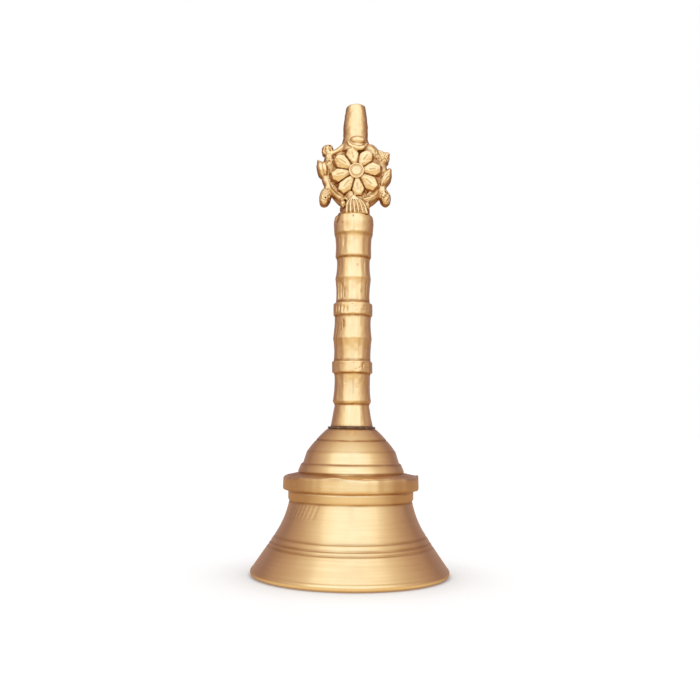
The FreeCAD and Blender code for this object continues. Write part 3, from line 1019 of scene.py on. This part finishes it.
def model_front_boss():
    """The thumb-shaped boss between the flower and the spout, with the crease under it."""
    rim = [(-2.5, 4.7, 163.1), (-1.7, 5.2, 161.4), (0.9, 5.8, 160.0), (3.1, 5.6, 160.3), (4.7, 4.8, 162.1)]
    press_strand(rim, [0.45, 0.85, 1.0, 0.85, 0.45], 0.2)
    crease = [(-1.8, 5.3, 163.2), (-0.7, 5.9, 161.8), (1.0, 6.2, 161.3), (2.9, 5.9, 161.7), (4.0, 5.2, 162.8)]
    press_strand(crease, [0.25, 0.4, 0.4, 0.4, 0.25], 0.1, True)
    press_lump((1.1, 4.8, 163.4), (2.9, 1.6, 1.7), 0, 0.05)
    press_lump((2.6, 2.9, 159.9), (2.4, 1.9, 1.3), 0, 0.5)


def model_stem_details():
    """A fan of flutes at the front of the stem, with a curl and a drilled dot beside it."""
    press_lump((1.0, 3.9, 138.0), (4.2, 2.3, 3.6), 0, 0.5)
    apex = Vector((-0.3, 6.0, 141.4))
    for k in range(6):
        foot = Vector((-2.7 + 1.5 * k, 6.0 - 0.10 * (k - 2.4) ** 2, 135.0))
        bend = (apex + foot) / 2 + Vector(((k - 2.2) * 0.42, 0.2, 0.5))
        press_strand([apex, bend, foot], [0.3, 0.6, 0.8], 0.35)
    for k in range(7):
        foot = Vector((-3.4 + 1.5 * k, 6.45 - 0.10 * (k - 3) ** 2, 135.0))
        bend = (apex + foot) / 2 + Vector(((k - 2.7) * 0.42, 0.4, 0.5))
        press_strand([apex, bend, foot], [0.03, 0.12, 0.22], 0.3, True)
    press_lump((-4.1, 4.0, 138.6), (1.5, 1.6, 1.6), 0, 0.25)
    press_lump((-3.8, 5.6, 138.2), (0.26, 0.4, 0.32), 0, 0.08, True)
    press_strand([(-5.0, 4.2, 140.4), (-3.2, 5.0, 140.7), (-2.3, 5.6, 139.4)], [0.5, 0.55, 0.3], 0.15)
    press_lump((5.1, 3.9, 138.2), (1.1, 1.5, 1.7), 0, 0.2)
    press_strand([(5.9, 4.3, 140.0), (4.9, 5.1, 138.6), (5.6, 4.5, 136.8)], [0.35, 0.5, 0.35], 0.12)


# Painted shade: the sides of every leaf and petal, turned away from the front and back, are browned, and so
# is the sunken ground between and round the petals
SIDE_PAINTED_SHADE = 0.74
RECESS_PAINTED_SHADE = 0.66


def model_finial():
    model_stem()
    model_spout()
    model_flower()
    model_wreath()
    model_left_buds()
    model_right_buds()
    model_front_boss()
    model_stem_details()
    stipple()
    whole = np.concatenate([clay[:, :0:-1, :], clay], axis=1)
    grid = openvdb.FloatGrid(3.0)
    grid.copyFromArray(whole)
    points, quads = grid.convertToQuads(isovalue=0.0)
    shift = np.array([CLAY_X[0], -CLAY_F[-1], CLAY_Z[0]])
    vertices = points * VOXEL + shift
    piece = new_object("finial_cast", vertices, quads, "bell", finial_brass)
    normals = np.empty(len(vertices) * 3)
    piece.data.vertex_normals.foreach_get("vector", normals)
    normals = normals.reshape(-1, 3)
    # Painted shade on the finial: brown where the surface turns away from the front and back, and on the
    # sunken ground round the flower
    facing = np.abs(normals[:, 1])
    wide = np.hypot(vertices[:, 0] - FLOWER_X, vertices[:, 2] - FLOWER_Z)
    deep = np.clip((4.8 - np.abs(vertices[:, 1])) / 1.6, 0, 1)
    sunk = deep * np.clip((BACKPLATE_R + 0.5 - wide) / 1.6, 0, 1)
    sides = SIDE_PAINTED_SHADE * np.clip((0.86 - facing) / 0.6, 0, 1)
    mark_dirt_and_shade(piece.data, np.maximum(sides, RECESS_PAINTED_SHADE * sunk))
    lumps = [0.13 * ripple(*(v * 0.5)) + 0.05 * ripple(*(v * 1.3)) - 0.03 for v in vertices]
    rough = (vertices + normals * np.array(lumps)[:, None]) * MM
    rough[:, 2] = np.minimum(rough[:, 2], (TOP_Z - 0.02) * MM)
    piece.data.vertices.foreach_set("co", rough.ravel())
    piece.data.update()
    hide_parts("finial")


model_finial()


# ---------------------------------------------------------------- what hangs inside the cup

THREAD_PITCH = 0.8
THREAD_DEPTH = 0.42
EYE_WIRE_R = 1.3
NUT_CHAMFER_R = 3.9
LINK_WIRE_R = 0.9
HOOK_WIRE_R = 1.1
ROD_R = 1.5
PEEN_HEIGHT = 1.0


def upright_ring(radius, height, start_degrees, count=72):
    """Points round a circle that stands in the XZ plane."""
    turns = math.radians(start_degrees) + math.tau * np.arange(count) / count
    return [(radius * math.cos(t), 0, height + radius * math.sin(t)) for t in turns]


def butt_joint(thickness, depth, reach):
    """A wire's thickness along a closed ring that dips where its two ends meet."""
    return lambda share: thickness - depth * math.exp(-((min(share, 1 - share) / reach) ** 2))


def fitting(name, shape, body, material, replaced):
    """One piece of the inner hardware, with crisp edges where its faces meet sharply."""
    vertices, faces = shape
    piece = new_object(name, vertices, faces, body, material)
    piece.data.set_sharp_from_angle(angle=math.radians(38))
    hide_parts(replaced)


def make_eye_bolt():
    ring_radius = BOLT_HIGH.x - EYE_WIRE_R
    ring_height = BOLT_LOW.z + BOLT_HIGH.x
    eye = tube(upright_ring(ring_radius, ring_height, 90), EYE_WIRE_R, 20, closed=True)
    neck = ring_height + ring_radius - 0.4
    outline = trace((AXIS_R, neck), [
        (1.7, neck),
        (1.9, neck + 0.9, STUD_R, neck + 1.9),
        (STUD_R, BOLT_HIGH.z - 0.5),
        (STUD_R - 0.5, BOLT_HIGH.z),
        (AXIS_R, BOLT_HIGH.z),
    ], 0.16)

    def threaded(angle, points):
        turn = (points[:, 1] / THREAD_PITCH - angle / math.tau) % 1
        cut = THREAD_DEPTH * np.clip(1.15 - 2.6 * np.abs(turn - 0.5), 0, 1)
        points[:, 0] -= cut * (points[:, 0] > STUD_R - 0.05)
        return points

    stud = lathe(outline, 40, threaded)
    fitting("eye_bolt_threaded", joined(eye, stud), "bell", plated_steel, "eye_bolt")


def make_crown_washer():
    outer = FLAT_HIGH.x
    bore = STUD_R + 0.12
    low, high = FLAT_LOW.z + 0.02, FLAT_HIGH.z - 0.02
    outline = trace((bore, low), [
        (outer - 0.3, low),
        (outer - 0.08, low + 0.08, outer, low + 0.33),
        (outer, high),
        (bore, high),
    ], 0.3)
    washer = lathe(outline, 96)
    fitting("crown_washer_punched", washer, "bell", plated_steel, "crown_washer")


def make_clamp_nut():
    low, high = NUT_LOW.z, NUT_HIGH.z
    half = min(NUT_HIGH.x, NUT_HIGH.y)
    flat_turn = 0 if NUT_HIGH.x < NUT_HIGH.y else math.radians(30)
    bore = STUD_R + 0.05
    outline = np.array([(bore + 0.3, low), (NUT_CHAMFER_R, low), (half, low), (half, high),
                        (NUT_CHAMFER_R, high), (bore + 0.3, high), (bore, high - 0.3), (bore, low + 0.3)])

    def hexagon(angle, points):
        off_flat = (angle - flat_turn + math.pi / 6) % (math.pi / 3) - math.pi / 6
        reach = half / math.cos(off_flat)
        drop = 0.58 * (reach - NUT_CHAMFER_R)
        points[2] = (reach, low + drop)
        points[3] = (reach, high - drop)
        return points

    nut = lathe(outline, 120, hexagon)
    fitting("clamp_nut_chamfered", nut, "bell", plated_steel, "clamp_nut")


def make_hanger_link():
    bend = LINK_HIGH.y - LINK_WIRE_R
    low = LINK_LOW.z + LINK_HIGH.y
    high = LINK_HIGH.z - LINK_HIGH.y
    middle = (low + high) / 2
    loop = trace((bend, middle), [
        (bend, high),
        (0, high + bend, -bend, high),
        (-bend, low),
        (0, low - bend, bend, low),
        (bend, middle),
    ], 0.2)[:-1]
    path = [(0, y, z) for y, z in loop]
    wire = tube(path, butt_joint(LINK_WIRE_R, 0.3, 0.007), 16, closed=True)
    fitting("hanger_link_bent", wire, "link", drawn_wire, "hanger_link")


def make_clapper_rod():
    ring_radius = ROD_HIGH.x - HOOK_WIRE_R
    ring_height = ROD_HIGH.z - ROD_HIGH.x
    ring = upright_ring(ring_radius, ring_height, -52)
    hook = tube(ring, butt_joint(HOOK_WIRE_R, 0.4, 0.010), 18, closed=True)
    foot = ROD_LOW.z
    peen_r = ROD_HIGH.y
    neck = ring_height - ring_radius
    outline = trace((AXIS_R, foot), [
        (1.4, foot + 0.13, peen_r, foot + 0.7),
        (peen_r - 0.1, foot + PEEN_HEIGHT),
        (ROD_R, foot + PEEN_HEIGHT),
        (ROD_R, neck - 2.4),
        (1.15, neck + 0.2),
        (AXIS_R, neck + 0.2),
    ], 0.4)
    rod = joined(hook, lathe(outline, 40))
    fitting("clapper_rod_hooked", rod, "clapper", drawn_wire, "clapper_rod")


def make_clapper_ball():
    radius = BALL_HIGH.x
    low, high = BALL_LOW.z, BALL_HIGH.z
    middle = (low + high) / 2
    flat_r = math.sqrt(radius**2 - (high - middle) ** 2)
    bore = ROD_R + 0.03
    outline = trace((bore, low), [(flat_r, low), (radius, middle, flat_r, high), (bore, high)], 0.2)
    belt = np.exp(-(((outline[:, 1] - middle) / 0.26) ** 2)) * (outline[:, 0] > flat_r)
    outline[:, 0] -= 0.16 * belt

    def worn(angle, points):
        wide = points[:, 0] > flat_r
        points[:, 0] += wide * (0.05 * ripple(math.cos(angle) * 1.5, math.sin(angle) * 1.5, 7.7) - 0.05)
        return points

    ball = lathe(outline, 96, worn)
    fitting("clapper_ball_turned", ball, "clapper", clapper_brass, "clapper_ball")


make_eye_bolt()
make_crown_washer()
make_clamp_nut()
make_hanger_link()
make_clapper_rod()
make_clapper_ball()


# ---------------------------------------------------------------- stage, light and camera

# The camera, in metres and radians
CAMERA_LENS_MM = 43.2
CAMERA_AWAY = 0.3172
CAMERA_HEIGHT = 0.05385
CAMERA_SIDE = -0.0009
CAMERA_PITCH = math.radians(5.305)
CAMERA_ROLL = math.radians(0.65)


def make_camera():
    data = bpy.data.cameras.new("camera")
    data.lens = CAMERA_LENS_MM
    data.sensor_width = 36.0
    data.clip_start = 0.01
    camera = bpy.data.objects.new("camera", data)
    tilt = Matrix.Rotation(math.pi / 2 + CAMERA_PITCH, 4, "X") @ Matrix.Rotation(CAMERA_ROLL, 4, "Z")
    camera.matrix_world = Matrix.Translation((CAMERA_SIDE, -CAMERA_AWAY, CAMERA_HEIGHT)) @ tilt
    bpy.context.scene.collection.objects.link(camera)
    bpy.context.scene.camera = camera


def emitter(name, place, target, width, height, radiance, colour):
    """A soft rectangular light of a given brightness per area, seen in the metal and not by matt surfaces."""
    data = bpy.data.lights.new(name, "AREA")
    data.shape = "RECTANGLE"
    data.size = width
    data.size_y = height
    data.energy = radiance * math.pi * width * height
    data.color = colour
    lamp = bpy.data.objects.new(name, data)
    bpy.context.scene.collection.objects.link(lamp)
    lamp.location = place
    lamp.rotation_euler = (Vector(target) - Vector(place)).to_track_quat("-Z", "Y").to_euler()
    lamp.visible_diffuse = False
    lamp.visible_camera = False


FLOOR_REACH = 6000.0
# The floor's colour under the rim and in the open, and how far the shade under the rim reaches
FLOOR_SHADED = (0.58, 0.58, 0.59)
FLOOR_OPEN = (0.92, 0.92, 0.92)
FLOOR_SHADE_REACH = 0.022
FLOOR_SHEEN = 0.07
FLOOR_GLOW = 0.11
# Painted reflection: colours the floor glows in for glossy rays only, seen by shiny surfaces in place of the
# pale floor: at the front, and at the sides and behind
FRONT_FLOOR_PAINTED_REFLECTION = (0.98, 0.88, 0.68)
SIDE_FLOOR_PAINTED_REFLECTION = (0.47, 0.31, 0.20)


def make_floor():
    """A pale matt floor with a faint sheen, clear when looked at from below.

    Shiny surfaces see it in other colours than the camera does, as a painted reflection glowing only for
    glossy rays: warm and pale at the front, brown elsewhere.
    """
    vertices, faces = lathe(np.array([(1e-4, 0.0), (FLOOR_REACH, 0.0)]), 96, closed=False)
    mesh = bpy.data.meshes.new("floor")
    mesh.from_pydata((vertices * MM).tolist(), [], [face[::-1] for face in faces])
    material = bpy.data.materials.new("pale_floor")
    material.use_nodes = True
    tree = material.node_tree
    tree.nodes.remove(tree.nodes["Principled BSDF"])
    matt = node(tree, "ShaderNodeBsdfDiffuse")
    # Painted shadow: the floor's colour darkens from FLOOR_OPEN to FLOOR_SHADED near the bell, by ambient
    # occlusion
    near = node(tree, "ShaderNodeAmbientOcclusion", samples=8)
    near.inputs["Distance"].default_value = FLOOR_SHADE_REACH
    shade = blended(tree, stretched(tree, 0.5, 1.0, near.outputs["AO"], 0.0, 1.0), FLOOR_SHADED, FLOOR_OPEN)
    tree.links.new(shade, matt.inputs["Color"])
    sheen = node(tree, "ShaderNodeBsdfGlossy")
    sheen.inputs["Roughness"].default_value = 0.12
    top = node(tree, "ShaderNodeMixShader")
    top.inputs["Fac"].default_value = FLOOR_SHEEN
    tree.links.new(matt.outputs[0], top.inputs[1])
    tree.links.new(sheen.outputs[0], top.inputs[2])
    soft = node(tree, "ShaderNodeEmission")
    soft.inputs["Strength"].default_value = FLOOR_GLOW
    lit = node(tree, "ShaderNodeAddShader")
    tree.links.new(top.outputs[0], lit.inputs[0])
    tree.links.new(soft.outputs[0], lit.inputs[1])
    away = node(tree, "ShaderNodeVectorMath", operation="NORMALIZE")
    tree.links.new(node(tree, "ShaderNodeTexCoord").outputs["Object"], away.inputs[0])
    parts = node(tree, "ShaderNodeSeparateXYZ")
    tree.links.new(away.outputs[0], parts.inputs[0])
    # Painted reflection: a glow seen only by glossy rays, pale in front of the bell and brown at its sides
    # and behind
    forward = stretched(tree, -0.2, -1.0, parts.outputs["Y"], 0.0, 1.0)
    dim = node(tree, "ShaderNodeEmission")
    tree.links.new(blended(tree, forward, SIDE_FLOOR_PAINTED_REFLECTION, FRONT_FLOOR_PAINTED_REFLECTION), dim.inputs["Color"])
    ray = node(tree, "ShaderNodeLightPath")
    seen = node(tree, "ShaderNodeMixShader")
    tree.links.new(ray.outputs["Is Glossy Ray"], seen.inputs["Fac"])
    tree.links.new(lit.outputs[0], seen.inputs[1])
    tree.links.new(dim.outputs[0], seen.inputs[2])
    clear = node(tree, "ShaderNodeBsdfTransparent")
    side = node(tree, "ShaderNodeNewGeometry")
    whole = node(tree, "ShaderNodeMixShader")
    tree.links.new(side.outputs["Backfacing"], whole.inputs["Fac"])
    tree.links.new(seen.outputs[0], whole.inputs[1])
    tree.links.new(clear.outputs[0], whole.inputs[2])
    tree.links.new(whole.outputs[0], tree.nodes["Material Output"].inputs["Surface"])
    material.cycles.emission_sampling = "NONE"
    mesh.materials.append(material)
    sheet = bpy.data.objects.new("floor", mesh)
    bpy.context.scene.collection.objects.link(sheet)


# What shiny surfaces see of the room, by how far a direction points at the front light: from -1, away
# from it, to 1. It isn't a plain white studio: the colours were typed in and tuned until the brass came
# near the photograph's colours, as a scratch program compared them.
FRONT_LIGHT_RISE = math.radians(30)
STUDIO_SWEEP = [
    (-1.00, (0.44, 0.34, 0.34)),
    (-0.55, (0.36, 0.25, 0.26)),
    (-0.38, (0.33, 0.23, 0.23)),
    (-0.22, (0.41, 0.29, 0.27)),
    (0.05, (0.53, 0.40, 0.36)),
    (0.25, (0.62, 0.50, 0.44)),
    (0.45, (0.74, 0.65, 0.58)),
    (0.60, (0.90, 0.84, 0.78)),
    (0.75, (1.02, 1.05, 1.05)),
    (0.92, (1.06, 1.24, 1.46)),
]
ROOM_SEEN = (1.0, 1.0, 1.0)
ROOM_LIGHT = (1.08, 1.08, 1.09)


def make_world():
    """A white room to the camera and to matt surfaces.

    Shiny surfaces see STUDIO_SWEEP in its place: bright at the front, brown and dim at the sides and behind.
    """
    world = bpy.data.worlds.new("world")
    bpy.context.scene.world = world
    world.use_nodes = True
    tree = world.node_tree
    direction = node(tree, "ShaderNodeTexCoord").outputs["Generated"]
    toward = node(tree, "ShaderNodeVectorMath", operation="DOT_PRODUCT")
    tree.links.new(direction, toward.inputs[0])
    toward.inputs[1].default_value = (0, -math.cos(FRONT_LIGHT_RISE), math.sin(FRONT_LIGHT_RISE))
    place = stretched(tree, -1, 1, toward.outputs["Value"], 0, 1)
    sweep = node(tree, "ShaderNodeValToRGB")
    sweep.color_ramp.interpolation = "LINEAR"
    stops = sweep.color_ramp.elements
    stops.remove(stops[1])
    stops[0].color = (*STUDIO_SWEEP[0][1], 1)
    for turn, colour in STUDIO_SWEEP[1:]:
        stops.new((turn + 1) / 2).color = (*colour, 1)
    tree.links.new(place, sweep.inputs["Fac"])
    ray = node(tree, "ShaderNodeLightPath")
    plain = blended(tree, ray.outputs["Is Camera Ray"], ROOM_LIGHT, ROOM_SEEN)
    seen = blended(tree, ray.outputs["Is Glossy Ray"], plain, sweep.outputs["Color"])
    world.cycles.sampling_method = "NONE"
    back = tree.nodes["Background"]
    tree.links.new(seen, back.inputs["Color"])


# The two front soft boxes: how far round from the front (degrees), and width
SOFT_BOXES = [("left_softbox", -27.0, 0.81), ("right_softbox", 28.0, 0.77)]
SOFT_BOX_AWAY = 0.87


def make_lights():
    """Two tall soft boxes at the front with a narrow gap between them, and one high behind."""
    middle = (0, 0, 0.09)
    for name, degrees, width in SOFT_BOXES:
        turn = math.radians(degrees)
        place = (SOFT_BOX_AWAY * math.sin(turn), -SOFT_BOX_AWAY * math.cos(turn), 0.57)
        emitter(name, place, middle, width, 1.08, 0.16, (1.0, 1.0, 1.1))
    emitter("rear_softbox", (0.0, 0.62, 0.85), middle, 0.5, 0.7, 0.6, (1.0, 0.90, 0.78))


make_camera()
make_floor()
make_world()
make_lights()
bpy.context.scene.view_settings.view_transform = "Standard"
